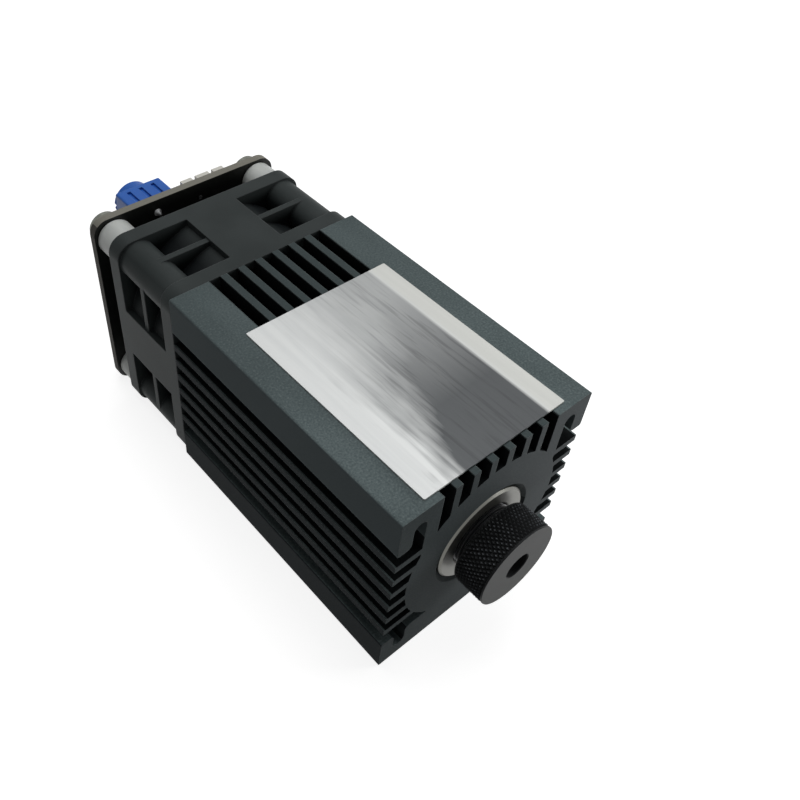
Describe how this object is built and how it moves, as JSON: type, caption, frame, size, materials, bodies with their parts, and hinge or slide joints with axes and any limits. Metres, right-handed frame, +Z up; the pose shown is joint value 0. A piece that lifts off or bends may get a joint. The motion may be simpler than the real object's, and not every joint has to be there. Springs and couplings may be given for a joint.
{
  "type": "laser diode module",
  "caption": "Square finned laser diode module with a knurled focusing knob in front and an axial fan, spacers and a driver board with trimmer and pin headers behind.",
  "frame": {"origin": "on the flat base face, under the optical axis, half way along the heat sink", "axes": "+X right, +Y back from the beam exit towards the driver board, along the optical axis, +Z up"},
  "size_m": [0.04, 0.0994, 0.0403],
  "materials": {
    "black_anodised": "satin black anodising",
    "foil": "thin brushed foil",
    "turned_aluminium": "fine turned",
    "dark_steel": "satin plated",
    "gold_plate": "gold plated",
    "turned_brass": "turned",
    "lens_glass": "polished and coated",
    "black_knob": "knurled, black anodised",
    "spring_steel": "drawn",
    "fan_plastic": "moulded black",
    "magnet": "bonded magnet",
    "nylon": "natural nylon",
    "copper": "enamelled copper wire",
    "board_green": "solder mask",
    "board_black": "dark solder mask",
    "trimmer_blue": "moulded blue",
    "tinned": "tin plated",
    "header_white": "moulded white",
    "ferrite": "pressed ferrite",
    "chip_black": "moulded black"
  },
  "bodies": {
    "housing": {"heat_sink": "black_anodised", "label_plate": "foil", "laser_barrel": "turned_aluminium", "barrel_grub_screws": "dark_steel", "laser_diode": "gold_plate", "diode_leads": "gold_plate", "diode_clamp_ring": "turned_brass", "focus_spring": "spring_steel", "fan_frame": "fan_plastic", "fan_bearing": "turned_brass", "stator_core": "spring_steel", "stator_coils": "copper", "fan_circuit_board": "board_green", "assembly_screws": "dark_steel", "board_spacers": "nylon", "driver_board": "board_black", "trimmer_body": "trimmer_blue", "trimmer_pins": "tinned", "power_header": "header_white", "fan_header": "header_white", "laser_header": "header_white", "header_pins": "tinned", "power_inductor": "ferrite", "driver_chip": "chip_black", "chip_leads": "tinned", "capacitor_base": "chip_black", "capacitor_can": "turned_aluminium", "rectifier_diode": "chip_black", "sense_resistor": "chip_black"},
    "lens_cell": {"focus_lens": "lens_glass", "lens_retainer": "turned_brass"},
    "focus_ring": {"focus_knob": "black_knob", "lens_sleeve": "black_anodised"},
    "impeller": {"fan_rotor": "fan_plastic", "rotor_yoke": "spring_steel", "rotor_magnet": "magnet", "fan_shaft": "spring_steel", "shaft_clip": "nylon"},
    "dial": {"trimmer_dial": "trimmer_blue"}
  },
  "joints": [
    {"name": "focus_travel", "type": "slide", "parent": "housing", "child": "lens_cell", "axis": [0, 1, 0], "range_m": [-0.00125, 0.00125], "deforming": ["focus_spring"]},
    {"name": "focus_turn", "type": "hinge", "parent": "lens_cell", "child": "focus_ring", "pos_m": [0, -0.0329, 0.02], "axis": [0, 1, 0], "range_deg": [-900, 900]},
    {"name": "fan_spin", "type": "hinge", "parent": "housing", "child": "impeller", "pos_m": [0, 0.03825, 0.02], "axis": [0, 1, 0], "continuous": true},
    {"name": "dial_turn", "type": "hinge", "parent": "housing", "child": "dial", "pos_m": [-0.00665, 0.0627, 0.0347], "axis": [0, 1, 0], "range_deg": [-135, 135]}
  ],
  "couplings": [
    {"joint": "focus_travel", "follows": "focus_turn", "m_per_rad": 0.000079577}
  ]
}
